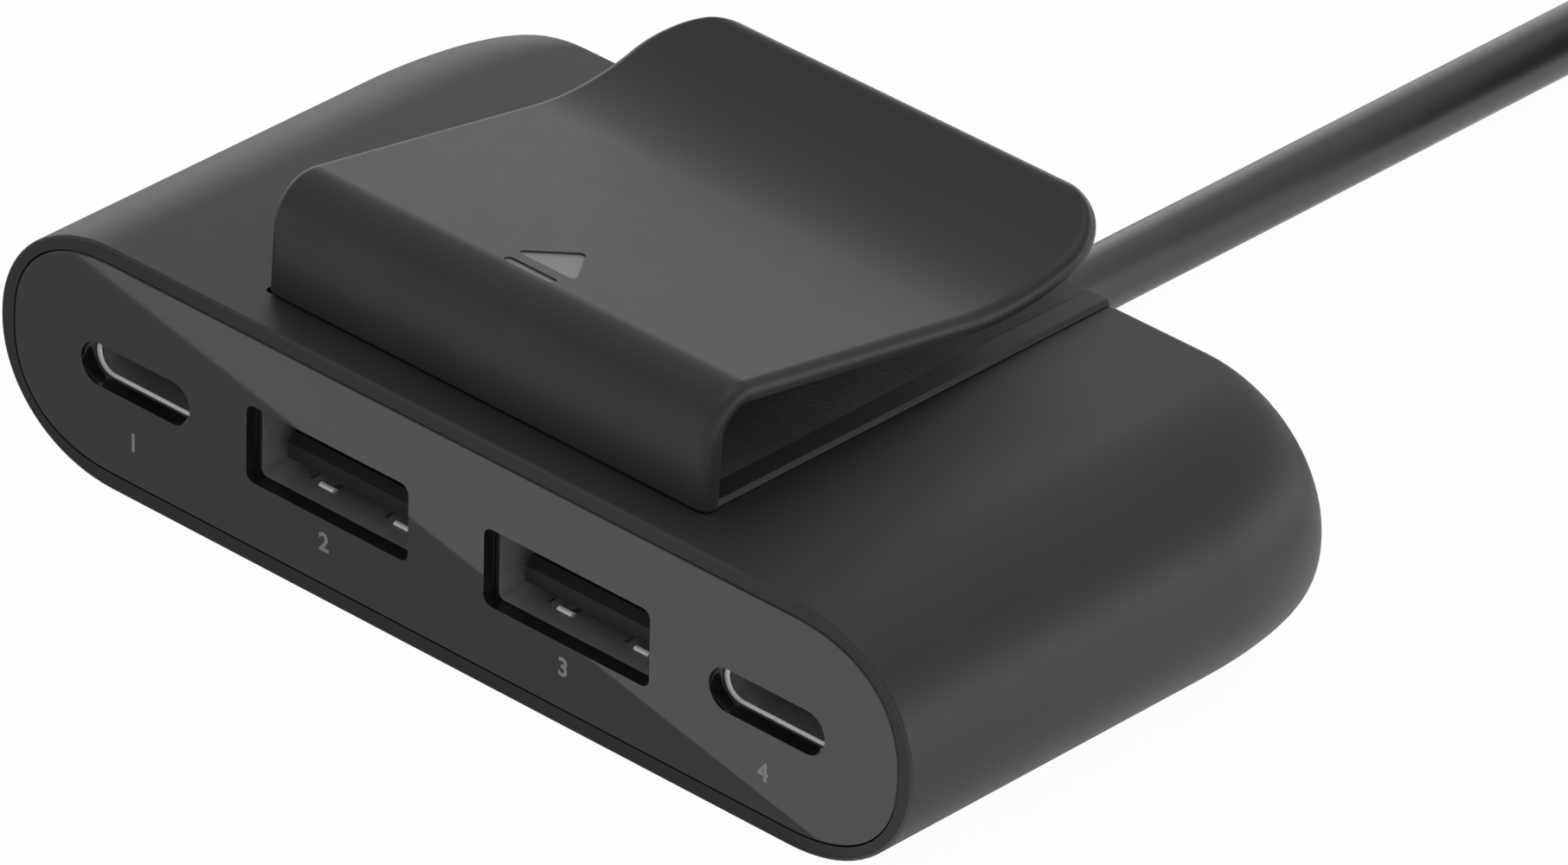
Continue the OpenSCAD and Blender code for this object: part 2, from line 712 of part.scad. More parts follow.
// Insulator in the plug's nose, with the slot that takes the socket's tongue
slot_w = 6.8;
slot_h = 0.85;
module plug_slot_contacts() {
    for (i = [0:c_pads - 1], m = [0, 1]) mirror([0, 0, m])
        translate([(i - (c_pads - 1) / 2) * c_pitch, 0, 0])
            block([-0.13, -nose_len + 1.2, slot_h / 2 - 0.04], [0.13, 2.5, slot_h / 2 + 0.15]);
}

module plug_tongue() {
    w = nose_w - 2 * nose_t - 0.04;
    h = nose_h - 2 * nose_t - 0.04;
    color(black_rubber) at_plug() difference() {
        rounded_bar(w, h, h / 2, 0.4 - nose_len, 3);
        block([-slot_w / 2, -nose_len - 1, -slot_h / 2], [slot_w / 2, -1, slot_h / 2]);
        plug_slot_contacts();
    }
}

module plug_contacts() {
    color(gold) at_plug() plug_slot_contacts();
}

housing();
faceplate();
clip();
grip_pad();
circuit_board();
usb_a_shell(-1);  // usb_a_shell_left
usb_a_shell(1);  // usb_a_shell_right
usb_a_tongue(-1);  // usb_a_tongue_left
usb_a_tongue(1);  // usb_a_tongue_right
usb_a_contacts(-1);  // usb_a_contacts_left
usb_a_contacts(1);  // usb_a_contacts_right
usb_c_shell(-1);  // usb_c_shell_left
usb_c_shell(1);  // usb_c_shell_right
usb_c_tongue(-1);  // usb_c_tongue_left
usb_c_tongue(1);  // usb_c_tongue_right
usb_c_contacts(-1);  // usb_c_contacts_left
usb_c_contacts(1);  // usb_c_contacts_right
power_inductors();
filter_capacitors();
port_controllers();
chip_components();
lead_wires();
strain_relief();
cord();
cord_coil();
cord_tail();
cord_tie();
plug_body();
plug_shell();
plug_tongue();
plug_contacts();
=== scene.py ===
"""Looks of a four-port charging hub on a lead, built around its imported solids.

Sizes named here are in millimetres, or in metres where the name ends in _M. The frame's own
boxes and points, and all that Blender is given, are in metres.
The face frame has its origin at the middle of the front face: X right, Y back, Z up.
"""
import math

import bmesh
import bpy
from mathutils import Matrix, Vector


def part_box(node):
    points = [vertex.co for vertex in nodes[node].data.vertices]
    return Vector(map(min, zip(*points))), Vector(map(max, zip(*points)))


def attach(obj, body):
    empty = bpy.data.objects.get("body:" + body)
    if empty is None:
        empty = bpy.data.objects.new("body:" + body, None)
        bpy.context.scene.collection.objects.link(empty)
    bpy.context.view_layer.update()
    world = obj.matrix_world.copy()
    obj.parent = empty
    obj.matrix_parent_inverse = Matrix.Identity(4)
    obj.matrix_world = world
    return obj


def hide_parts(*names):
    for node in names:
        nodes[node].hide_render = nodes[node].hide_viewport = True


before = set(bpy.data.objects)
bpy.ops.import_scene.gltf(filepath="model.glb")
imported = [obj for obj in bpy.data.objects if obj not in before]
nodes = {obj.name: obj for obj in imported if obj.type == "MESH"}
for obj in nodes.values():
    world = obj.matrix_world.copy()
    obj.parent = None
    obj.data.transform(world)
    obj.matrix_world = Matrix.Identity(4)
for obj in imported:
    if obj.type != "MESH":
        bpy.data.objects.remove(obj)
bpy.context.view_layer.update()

MM = 0.001
HOUSING_LO, HOUSING_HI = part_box("housing")
FRONT_Y_M = HOUSING_LO.y
MID_Z_M = (HOUSING_LO.z + HOUSING_HI.z) / 2


def at_face(x, y, z):
    """A point of the face frame, in millimetres, as a point of the part's frame in metres."""
    return Vector((x * MM, FRONT_Y_M + y * MM, MID_Z_M + z * MM))


def add_object(name, data):
    thing = bpy.data.objects.new(name, data)
    bpy.context.scene.collection.objects.link(thing)
    return thing


# Camera
CAMERA_AZIMUTH = 42.861
CAMERA_ELEVATION = 30.595
CAMERA_ROLL = 1.517
CAMERA_LENS_MM = 362.65
CAMERA_SENSOR_MM = 36.0
CAMERA_DISTANCE_MM = 912.9
CAMERA_SHIFT_RIGHT_MM = 19.55
CAMERA_SHIFT_UP_MM = 6.41
CAMERA_CLIP_M = (0.01, 20.0)


def make_camera():
    az, el, roll = (math.radians(a) for a in (CAMERA_AZIMUTH, CAMERA_ELEVATION, CAMERA_ROLL))
    forward = Vector((-math.sin(az) * math.cos(el), math.cos(az) * math.cos(el), -math.sin(el)))
    level_right = forward.cross(Vector((0, 0, 1))).normalized()
    level_up = level_right.cross(forward)
    right = level_right * math.cos(roll) + level_up * math.sin(roll)
    up = level_up * math.cos(roll) - level_right * math.sin(roll)
    place = right * CAMERA_SHIFT_RIGHT_MM + up * CAMERA_SHIFT_UP_MM - forward * CAMERA_DISTANCE_MM
    data = bpy.data.cameras.new("camera")
    data.lens = CAMERA_LENS_MM
    data.sensor_width = CAMERA_SENSOR_MM
    data.sensor_fit = "HORIZONTAL"
    data.clip_start, data.clip_end = CAMERA_CLIP_M
    camera = add_object("camera", data)
    turn = Matrix((right, up, -forward)).transposed().to_4x4()
    camera.matrix_world = Matrix.Translation(at_face(*place)) @ turn
    bpy.context.scene.camera = camera


make_camera()


# Lead
# The points repeat the lead's route in the part's source, in the face frame.
CORD_D_MM = 4.1
CORD_Z = -4.9
LEAD_X = -1.4
LEAD_START_Y = 33.2
COIL_Y = 130.0
COIL_TURN_RADII_MM = (27.6, 23.5, 19.4)
COIL_LAYERS = 4
COIL_STEPS_PER_TURN = 36
COIL_DEGREES = 11 * 360 + 180
COIL_X = LEAD_X + COIL_TURN_RADII_MM[0]
TAIL_X = LEAD_X + 2 * COIL_TURN_RADII_MM[0]
LEAD_ROUTE = [
    (0, LEAD_START_Y, CORD_Z), (0, 37, CORD_Z), (0, 44, CORD_Z), (-0.3, 50, -5.2),
    (-0.8, 56, -5.6), (-1.2, 62, -5.95), (LEAD_X, 68, -6.15), (LEAD_X, 76, -6.15),
    (LEAD_X, 84, -6.15), (LEAD_X, 92, -6.15), (LEAD_X, 100, -6.15), (LEAD_X, 108, -6.15),
    (LEAD_X, 116, -6.15), (LEAD_X, 123, -6.15)]
TAIL_ROUTE = [
    (TAIL_X, 124, 6.15), (TAIL_X, 118, 6.15), (TAIL_X, 113, 5.5), (TAIL_X, 109, 3.6),
    (TAIL_X, 105, 0.6), (TAIL_X, 101, -2.4), (TAIL_X, 97, -4.3), (TAIL_X, 92, -5),
    (TAIL_X, 87, -5), (TAIL_X, 82, -5)]
LEAD_STEP_MM, TAIL_STEP_MM = 4.0, 3.0
# Degrees within a turn at which the lead climbs a layer, and then moves to the next radius
RISE_START, RISE_END, SHIFT_END = 200.0, 250.0, 320.0
TIE_TURN_DEGREES, TIE_REACH_DEGREES = 90.0, 25.0
TIE_T_MM = 0.6


def smooth_step(t):
    t = min(max(t, 0.0), 1.0)
    return t * t * (3 - 2 * t)


def coil_slots():
    """Radius and layer of each turn, from the outside of the lowest layer upwards."""
    slots = []
    for layer in range(COIL_LAYERS):
        radii = COIL_TURN_RADII_MM if layer % 2 == 0 else COIL_TURN_RADII_MM[::-1]
        slots += [(radius, layer) for radius in radii]
    return slots


def coil_point(degrees, slots):
    """A point of the wound lead, which lies a little higher where the tie passes below it."""
    turn, within = divmod(degrees, 360.0)
    here = slots[int(turn)]
    after = slots[min(int(turn) + 1, len(slots) - 1)]
    rise = smooth_step((within - RISE_START) / (RISE_END - RISE_START))
    shift = smooth_step((within - RISE_END) / (SHIFT_END - RISE_END))
    radius = here[0] + (after[0] - here[0]) * shift
    layer = here[1] + (after[1] - here[1]) * rise
    angle = math.radians(180.0 - degrees)
    near_tie = math.exp(-(((within - TIE_TURN_DEGREES) / TIE_REACH_DEGREES) ** 2))
    height = CORD_D_MM * (0.5 + layer) + TIE_T_MM * near_tie - MID_Z_M / MM
    return (COIL_X + radius * math.cos(angle), COIL_Y + radius * math.sin(angle), height)


def fine_route(points, step_mm):
    """The route's smooth curve through its points, as a Catmull-Rom line with even steps."""
    fine = []
    ends = [points[0]] + list(points) + [points[-1]]
    for i in range(len(points) - 1):
        p = [Vector(q) for q in ends[i:i + 4]]
        count = max(1, round((p[2] - p[1]).length / step_mm))
        for k in range(count):
            t = k / count
            fine.append(0.5 * (2 * p[1] + (p[2] - p[0]) * t
                               + (2 * p[0] - 5 * p[1] + 4 * p[2] - p[3]) * t ** 2
                               + (3 * p[1] - p[0] - 3 * p[2] + p[3]) * t ** 3))
    return fine + [Vector(points[-1])]


def line_length(points):
    return sum((b - a).length for a, b in zip(points, points[1:]))


def make_cord():
    """The whole lead as one curve, and its length. Each point's radius gives the thickness."""
    slots = coil_slots()
    steps = COIL_DEGREES * COIL_STEPS_PER_TURN // 360
    coil = [Vector(coil_point(COIL_DEGREES * i / steps, slots)) for i in range(steps + 1)]
    line = fine_route(LEAD_ROUTE, LEAD_STEP_MM) + coil + fine_route(TAIL_ROUTE, TAIL_STEP_MM)
    line = [at_face(*p) for p in line]
    data = bpy.data.curves.new("lead", "CURVE")
    data.dimensions = "3D"
    data.bevel_depth = 1.0
    data.bevel_resolution = 5
    data.use_fill_caps = True
    spline = data.splines.new("POLY")
    spline.points.add(len(line) - 1)
    for point, place in zip(spline.points, line):
        point.co = (*place, 1.0)
        point.radius = CORD_D_MM / 2 * MM
    spline.use_smooth = True
    cord = add_object("lead", data)
    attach(cord, "hub")
    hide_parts("cord", "cord_coil", "cord_tail")
    return cord, line_length(line)


lead, lead_length = make_cord()


# Materials
CLOUD_MM, SMEAR_MM = 7.0, 1.3
SMEAR_DEPTH = 0.012
TRACK_CELLS_PER_M = 260.0


def map_range(tree, value, source, target, interpolation="LINEAR"):
    """The value remapped so that the source's two ends give the target's two ends."""
    node = tree.nodes.new("ShaderNodeMapRange")
    node.interpolation_type = interpolation
    for key, number in zip(("From Min", "From Max", "To Min", "To Max"), (*source, *target)):
        node.inputs[key].default_value = number
    tree.links.new(value, node.inputs["Value"])
    return node.outputs["Result"]


class Look:
    """A material under construction: nodes are added and joined by short calls."""

    def __init__(self, name):
        self.material = bpy.data.materials.new(name)
        self.material.use_nodes = True
        self.tree = self.material.node_tree
        self.shader = self.tree.nodes["Principled BSDF"]
        self.coordinates = self.add("ShaderNodeTexCoord")
        self.place = self.coordinates.outputs["Object"]

    def add(self, kind, **settings):
        node = self.tree.nodes.new(kind)
        for key, value in settings.items():
            setattr(node, key, value)
        return node

    def join(self, out, into):
        self.tree.links.new(out, into)

    def feed(self, out, socket):
        """Joins an output to a socket of the material's own shader."""
        self.join(out, self.shader.inputs[socket])

    def set(self, **sockets):
        for key, value in sockets.items():
            self.shader.inputs[key.replace("_", " ")].default_value = value

    def noise(self, size_mm, detail=2.0, stretch=None):
        """Noise whose grains are about size_mm across, from 0 to 1."""
        node = self.add("ShaderNodeTexNoise")
        node.inputs["Scale"].default_value = 1.0 / (size_mm * MM)
        node.inputs["Detail"].default_value = detail
        source = self.place
        if stretch:
            mapping = self.add("ShaderNodeMapping")
            mapping.inputs["Scale"].default_value = stretch
            self.join(self.place, mapping.inputs["Vector"])
            source = mapping.outputs["Vector"]
        self.join(source, node.inputs["Vector"])
        return node.outputs["Fac"]

    def spread(self, value, low, high, start=0.3, end=0.7):
        """The value remapped so that start..end gives low..high."""
        return map_range(self.tree, value, (start, end), (low, high))

    def tones(self, value, dark, light, start=0.3, end=0.7):
        """Colours from dark to light as the value goes from start to end."""
        node = self.add("ShaderNodeValToRGB")
        ramp = node.color_ramp.elements
        ramp[0].position, ramp[1].position = start, end
        ramp[0].color, ramp[1].color = (*dark, 1.0), (*light, 1.0)
        self.join(value, node.inputs["Fac"])
        return node.outputs["Color"]

    def bump(self, value, height_mm, strength=1.0):
        node = self.add("ShaderNodeBump")
        node.inputs["Distance"].default_value = height_mm * MM
        node.inputs["Strength"].default_value = strength
        self.join(value, node.inputs["Height"])
        self.feed(node.outputs["Normal"], "Normal")


def moulded(name, dark, light, rough, grain_mm, grain_height_mm, specular=0.5):
    """Moulded plastic: slight cloudiness, uneven gloss and a fine eroded grain."""
    look = Look(name)
    look.set(Specular_IOR_Level=specular)
    look.feed(look.tones(look.noise(CLOUD_MM, 3.0), dark, light), "Base Color")
    smears = look.spread(look.noise(SMEAR_MM, 3.0), rough - SMEAR_DEPTH, rough + SMEAR_DEPTH)
    look.feed(smears, "Roughness")
    look.bump(look.noise(grain_mm, 2.0), grain_height_mm, 0.6)
    return look.material


def gloss_plastic(name, tone, rough, specular):
    """Polished plastic with faint cloudiness, fine swirl marks and a slight waviness."""
    look = Look(name)
    look.set(Specular_IOR_Level=specular)
    light = tuple(1.15 * c for c in tone)
    look.feed(look.tones(look.noise(9.0, 2.0), tone, light), "Base Color")
    swirls = look.noise(0.8, 4.0, stretch=(1.0, 6.0, 6.0))
    look.feed(look.spread(swirls, rough, rough + 0.03), "Roughness")
    look.bump(look.noise(14.0, 1.0), 0.004, 0.3)
    return look.material


def sheet_metal(name, dark, light, rough, metallic=1.0, cut_edge=None):
    """Rolled metal with fine marks along one direction, and duller punched front edges."""
    look = Look(name)
    look.set(Metallic=metallic)
    marks = look.noise(0.6, 2.0, stretch=(1.0, 0.12, 1.0))
    colour = look.tones(marks, dark, light)
    if cut_edge:
        parts = look.add("ShaderNodeSeparateXYZ")
        look.join(look.coordinates.outputs["Normal"], parts.inputs["Vector"])
        edge = look.spread(parts.outputs["Y"], 1.0, 0.0, -0.9, -0.7)
        mix = look.add("ShaderNodeMix", data_type="RGBA")
        look.join(edge, mix.inputs["Factor"])
        look.join(colour, mix.inputs[6])
        mix.inputs[7].default_value = (*cut_edge, 1.0)
        colour = mix.outputs[2]
    look.feed(colour, "Base Color")
    look.feed(look.spread(look.noise(2.5, 2.0), rough - 0.03, rough + 0.04), "Roughness")
    look.bump(marks, 0.001, 0.15)
    return look.material


def solder_mask():
    """Green lacquer over copper tracks, which show as paler square-cornered lines."""
    look = Look("solder_mask")
    look.set(Specular_IOR_Level=0.5)
    cells = look.add("ShaderNodeTexVoronoi", feature="DISTANCE_TO_EDGE", distance="CHEBYCHEV")
    cells.inputs["Scale"].default_value = TRACK_CELLS_PER_M
    look.join(look.place, cells.inputs["Vector"])
    tracks = look.spread(cells.outputs["Distance"], 1.0, 0.0, 0.06, 0.1)
    greens = look.tones(tracks, (0.008, 0.075, 0.03), (0.02, 0.16, 0.06), 0.0, 1.0)
    look.feed(greens, "Base Color")
    look.feed(look.spread(look.noise(2.0), 0.25, 0.35), "Roughness")
    look.bump(tracks, 0.02, 0.5)
    return look.material


def lead_jacket():
    """Soft extruded jacket: satin, with slight cloudiness and a fine matt bloom."""
    look = Look("lead_jacket")
    look.set(Specular_IOR_Level=0.9)
    blacks = look.tones(look.noise(5.0, 3.0), (0.020, 0.020, 0.021), (0.027, 0.027, 0.028))
    look.feed(blacks, "Base Color")
    look.feed(look.spread(look.noise(1.1, 3.0), 0.34, 0.4), "Roughness")
    look.bump(look.noise(0.3, 2.0), 0.008, 0.5)
    return look.material


def woven(name, dark, light, pitch_mm):
    """Woven strap: crossed waves of threads with a little fuzz."""
    look = Look(name)
    look.set(Specular_IOR_Level=0.3, Sheen_Weight=0.3, Roughness=0.8)
    product = look.add("ShaderNodeMath", operation="MULTIPLY")
    for index, direction in enumerate(("X", "Z")):
        wave = look.add("ShaderNodeTexWave", bands_direction=direction)
        wave.inputs["Scale"].default_value = math.pi / 10 / (pitch_mm * MM)
        look.join(look.place, wave.inputs["Vector"])
        look.join(wave.outputs["Fac"], product.inputs[index])
    threads = product.outputs[0]
    look.feed(look.tones(threads, dark, light, 0.1, 0.9), "Base Color")
    look.bump(threads, 0.08, 0.6)
    return look.material


shell_black = moulded("shell_black", (0.0212, 0.0212, 0.0217), (0.0232, 0.0232, 0.0237),
                      0.46, 0.2, 0.008)
rim_black = moulded("rim_black", (0.0270, 0.0270, 0.0275), (0.0290, 0.0290, 0.0295),
                    0.55, 0.2, 0.008, 0.2)
clip_black = moulded("clip_black", (0.0255, 0.0255, 0.026), (0.0280, 0.0280, 0.0285),
                     0.42, 0.18, 0.008, 0.36)
# The pad's grey is partly the rubber's own lighter tone and partly painted light, raised to lift
# the shade under the clip's arm.
pad_rubber_and_painted_fill = moulded("pad_rubber_and_painted_fill", (0.078, 0.078, 0.078), (0.112, 0.112, 0.112),
                    0.72, 0.3, 0.06, 0.4)
mark_grey = moulded("mark_grey", (0.20, 0.20, 0.205), (0.23, 0.23, 0.235), 0.5, 0.2, 0.006)
print_grey = moulded("print_grey", (0.23, 0.23, 0.23), (0.26, 0.26, 0.26), 0.5, 0.2, 0.004)
plate_black = gloss_plastic("plate_black", (0.012, 0.012, 0.0125), 0.03, 0.5)
insulator_black = moulded("insulator_black", (0.005, 0.005, 0.005), (0.007, 0.007, 0.007),
                          0.5, 0.15, 0.008, 0.3)
port_steel = sheet_metal("port_steel", (0.58, 0.58, 0.59), (0.66, 0.66, 0.67), 0.3, 0.7,
                         cut_edge=(0.05, 0.05, 0.05))
# Near-white, barely metallic steel: its colour paints the bright glint and reflection on the port
# lips and spring roots.
painted_glint_steel = sheet_metal("painted_glint_steel", (0.93, 0.93, 0.935), (0.97, 0.97, 0.975), 0.22, 0.15)
plug_steel = sheet_metal("plug_steel", (0.6, 0.6, 0.61), (0.7, 0.7, 0.71), 0.25)
contact_gold = sheet_metal("contact_gold", (0.7, 0.5, 0.18), (0.85, 0.64, 0.28), 0.25)
can_aluminium = sheet_metal("can_aluminium", (0.6, 0.6, 0.62), (0.75, 0.75, 0.77), 0.3)
board_lacquer = solder_mask()
ferrite_grey = moulded("ferrite_grey", (0.03, 0.03, 0.031), (0.05, 0.05, 0.05), 0.7, 0.3, 0.03)
chip_black = moulded("chip_black", (0.012, 0.012, 0.012), (0.018, 0.018, 0.018),
                     0.55, 0.1, 0.01)
ceramic_tan = moulded("ceramic_tan", (0.30, 0.20, 0.11), (0.40, 0.29, 0.17), 0.4, 0.2, 0.01)
wire_red = moulded("wire_red", (0.35, 0.02, 0.015), (0.45, 0.03, 0.02), 0.35, 0.3, 0.01)
jacket = lead_jacket()
strap_weave = woven("strap_weave", (0.008, 0.008, 0.009), (0.03, 0.03, 0.032), 0.7)

NODE_LOOKS = {
    "housing": shell_black, "faceplate": plate_black, "clip": clip_black, "grip_pad": pad_rubber_and_painted_fill,
    "circuit_board": board_lacquer, "power_inductors": ferrite_grey,
    "filter_capacitors": can_aluminium, "port_controllers": chip_black,
    "chip_components": ceramic_tan, "lead_wires": wire_red, "strain_relief": jacket,
    "cord": jacket, "cord_coil": jacket, "cord_tail": jacket, "cord_tie": strap_weave,
    "plug_body": jacket, "plug_shell": plug_steel, "plug_tongue": insulator_black,
    "plug_contacts": contact_gold}
FAMILY_LOOKS = {"shell": port_steel, "tongue": insulator_black, "contacts": contact_gold}


def dress(thing, *materials):
    thing.data.materials.clear()
    for material in materials:
        thing.data.materials.append(material)


for name, node in nodes.items():
    family = name.split("_")[2] if name.startswith("usb_") else ""
    dress(node, NODE_LOOKS.get(name) or FAMILY_LOOKS[family])
dress(lead, jacket)


# Fine shells that stand for the faceted solids. Angles named here are in degrees.
BODY_W, BODY_D, BODY_H = 74.0, 37.3, 16.4
CAP_LEN, CAP_POWER = 9.4, 2.08
REAR_IN, REAR_LEN = 2.9, 10.0
RIM_W, PLATE_T, PLATE_GAP = 1.05, 1.4, 0.06
PLATE_CAP, PLATE_POWER = CAP_LEN - 0.8, 2.34
WALL = 1.8
CAVITY_TOP, CAVITY_BOTTOM, CAVITY_CORNER = 5.5, -6.6, 4.0
HALF_H = BODY_H / 2
FRONT_EDGE_R, REAR_EDGE_R, PLATE_EDGE_R = 0.15, 0.2, 0.12
CLIP_W, CLIP_FRONT, CLIP_LEN, CLIP_T = 35.6, 2.9, 35.0, 1.05
ARM_SLOPE, TIP_BEND_R, TIP_CORNER_R = 9.6, 20.0, 4.6
LOW_Y, LOW_Z, WALL_LEAN, BEND_R = 28.0, 12.15, 3.0, 3.0
EDGE_R, EDGE_FLAT = 0.75, 0.08
ARM_ANGLE = math.radians(ARM_SLOPE)
ARM_END_Y = LOW_Y - TIP_BEND_R * math.sin(ARM_ANGLE)
ARM_END_Z = LOW_Z + TIP_BEND_R * (1 - math.cos(ARM_ANGLE))
LEG_PROUD, LEG_T, LEG_FLARE, SLIDE_GAP, LEG_SLANT = 0.28, 1.35, 0.5, 0.12, 0.22
LEG_FLARE_LOW, LEG_FLARE_HIGH = 0.35, 0.8
LEG_W, LEG_FRONT, CHANNEL_GAP, RELIEF_R = CLIP_W / 2 - 0.3, CLIP_FRONT + 0.4, 0.15, 0.45
LEG_BOTTOM = HALF_H + LEG_PROUD - LEG_T
PAD_T, PAD_PROUD, PAD_MARGIN, PAD_FRONT = 0.6, 0.12, 1.7, CLIP_FRONT + 3
PAD_TOP = HALF_H + LEG_PROUD + PAD_PROUD
PAD_SIDE_GAP, PAD_END_GAP, PAD_SUNK = 0.04, 0.02, 0.03
MARK_DEPTH, MARK_X, MARK_CORNER_R = 0.12, -0.2, 0.3
MARK_BAR = [(-2.0, 6.3), (2.0, 6.3), (2.0, 6.95), (-2.0, 6.95)]
MARK_WEDGE = [(-2.5, 7.85), (2.5, 7.85), (0.0, 11.35)]
PORT_A_X, PORT_C_X, PORT_Z = 9.73, 25.65, -0.1
# Openings as width, height and corner radius
PORT_A_OPENING, PORT_C_OPENING = (13.3, 5.18, 0.6), (9.1, 2.86, 1.42)
PORT_A_POCKET, POCKET_FRONT = (13.5, 5.84, 0.8), 0.95
LEAD_HOLE_R = 2.9
HOUSING_SOFT, PLATE_SOFT, CLIP_SOFT, PAD_SOFT = 0.1, 0.08, 0.05, 0.06
# How far a cutting tool reaches past what it cuts
BEYOND = 1.0


def power_of(value, exponent):
    return math.copysign(abs(value) ** exponent, value)


def quarter(steps):
    """Angles from nothing to a right angle, in radians."""
    return [math.pi / 2 * i / steps for i in range(steps + 1)]


def circle(radius, step_degrees):
    angles = [math.radians(a) for a in range(0, 360, step_degrees)]
    return [(radius * math.cos(a), radius * math.sin(a)) for a in angles]


def slab_outline(half_w, half_h, cap, power, steps=40):
    """Outline with flat top and bottom and superellipse ends, as (x, z) pairs."""
    outline = []
    for side in (1, -1):
        for i in range(steps + 1):
            t = side * math.radians(-90 + 180 * i / steps)
            outline.append((side * (half_w - cap + cap * power_of(math.cos(t), 2 / power)),
                            half_h * power_of(math.sin(t), 2 / power)))
    return outline


def round_box_outline(w, h, r, steps=8):
    """Rectangle with round corners, as (x, z) pairs."""
    outline = []
    for sx, sz, start in ((1, -1, -90), (1, 1, 0), (-1, 1, 90), (-1, -1, 180)):
        for i in range(steps + 1):
            t = math.radians(start + 90 * i / steps)
            outline.append((sx * (w / 2 - r) + r * math.cos(t), sz * (h / 2 - r) + r * math.sin(t)))
    return outline


def solid(name, rings, closed=False):
    """Solid through rings of points of the face frame, capped or closed into a loop."""
    bm = bmesh.new()
    grid = [[bm.verts.new(at_face(*p)) for p in ring] for ring in rings]
    count = len(rings[0])
    for a, b in zip(grid, grid[1:] + grid[:1] if closed else grid[1:]):
        for i in range(count):
            k = (i + 1) % count
            bm.faces.new((a[i], a[k], b[k], b[i]))
    if not closed:
        bm.faces.new(grid[0][::-1])
        bm.faces.new(grid[-1])
    bmesh.ops.remove_doubles(bm, verts=bm.verts, dist=0.0005 * MM)
    bmesh.ops.recalc_face_normals(bm, faces=bm.faces)
    mesh = bpy.data.meshes.new(name)
    bm.to_mesh(mesh)
    bm.free()
    return add_object(name, mesh)


def prism(name, outline, y0, y1, x=0.0, z=0.0):
    return solid(name, [[(px + x, y, pz + z) for px, pz in outline] for y in (y0, y1)])


def bake_modifiers(thing):
    graph = bpy.context.evaluated_depsgraph_get()
    graph.update()
    mesh = bpy.data.meshes.new_from_object(thing.evaluated_get(graph))
    thing.modifiers.clear()
    old = thing.data
    thing.data = mesh
    bpy.data.meshes.remove(old)


def combine(thing, operation, *tools):
    """Joins tools to the thing or cuts them from it, and deletes the tools."""
    for tool in tools:
        step = thing.modifiers.new("step", "BOOLEAN")
        step.operation = operation
        step.solver = "EXACT"
        step.object = tool
    bake_modifiers(thing)
    for tool in tools:
        bpy.data.objects.remove(tool)


def soften(thing, width_mm, segments=2, angle=40.0):
    """Small rounding on the sharp edges, then smooth shading that keeps flats flat."""
    thing.data.set_sharp_from_angle(angle=math.radians(angle))
    edge = thing.modifiers.new("edge", "BEVEL")
    edge.width = width_mm * MM
    edge.segments = segments
    edge.limit_method = "ANGLE"
    edge.angle_limit = math.radians(angle)
    edge.use_clamp_overlap = True
    bake_modifiers(thing)
    for face in thing.data.polygons:
        face.use_smooth = True
    thing.data.set_sharp_from_angle(angle=math.radians(angle))
    flat = thing.modifiers.new("flat", "WEIGHTED_NORMAL")
    flat.keep_sharp = True
    bake_modifiers(thing)


def housing_ring(y, inset):
    """Outline of the housing at depth y. At the rear an inset acts on top and bottom alone."""
    turn = math.asin(min(1.0, max(0.0, (y - BODY_D + REAR_LEN) / REAR_LEN)))
    half_w = BODY_W / 2 - REAR_IN + REAR_IN * math.cos(turn)
    side_inset = inset if y < 1 else 0.0
    outline = slab_outline(half_w - side_inset, HALF_H - inset, CAP_LEN, CAP_POWER)
    return [(x, y, z) for x, z in outline]


def cavity_ring(y):
    back = BODY_D - WALL
    half_w = BODY_W / 2 - WALL
    into = max(0.0, y - back + CAVITY_CORNER)
    limit = half_w - CAVITY_CORNER + math.sqrt(max(0.0, CAVITY_CORNER ** 2 - into ** 2))
    outline = slab_outline(half_w, HALF_H - WALL / 2, CAP_LEN - WALL / 2, CAP_POWER)
    return [(min(max(x, -limit), limit), y, min(max(z, CAVITY_BOTTOM), CAVITY_TOP))
            for x, z in outline]


def leg_outline(gap, top):
    """Section of the clip's leg, or of its channel in the housing when there is a gap."""
    w, low = LEG_W + gap, LEG_BOTTOM - gap
    slant = 0.0 if gap else LEG_SLANT
    right = [(w + LEG_FLARE, low), (w + LEG_FLARE, low + LEG_FLARE_LOW + gap),
             (w, low + LEG_FLARE_HIGH + gap), (w, HALF_H), (w - slant, top)]
    return right + [(-x, z) for x, z in reversed(right)]


def housing_rings():
    rings = [housing_ring(FRONT_EDGE_R * (1 - math.sin(b)), FRONT_EDGE_R * (1 - math.cos(b)))
             for b in reversed(quarter(4))]
    rings += [housing_ring(y, 0.0) for y in (9.0, 18.0)]
    rings += [housing_ring(BODY_D - REAR_LEN + REAR_LEN * math.sin(math.radians(3 * i)), 0.0)
              for i in range(26)]
    rings += [housing_ring(BODY_D - REAR_EDGE_R * (1 - math.sin(b)),
                           REAR_EDGE_R * (1 - math.cos(b))) for b in quarter(3)]
    return rings


def cavity_rings():
    start = BODY_D - WALL - CAVITY_CORNER
    return [cavity_ring(PLATE_T - 0.1)] + [
        cavity_ring(start + CAVITY_CORNER * math.sin(math.radians(15 * i))) for i in range(7)]


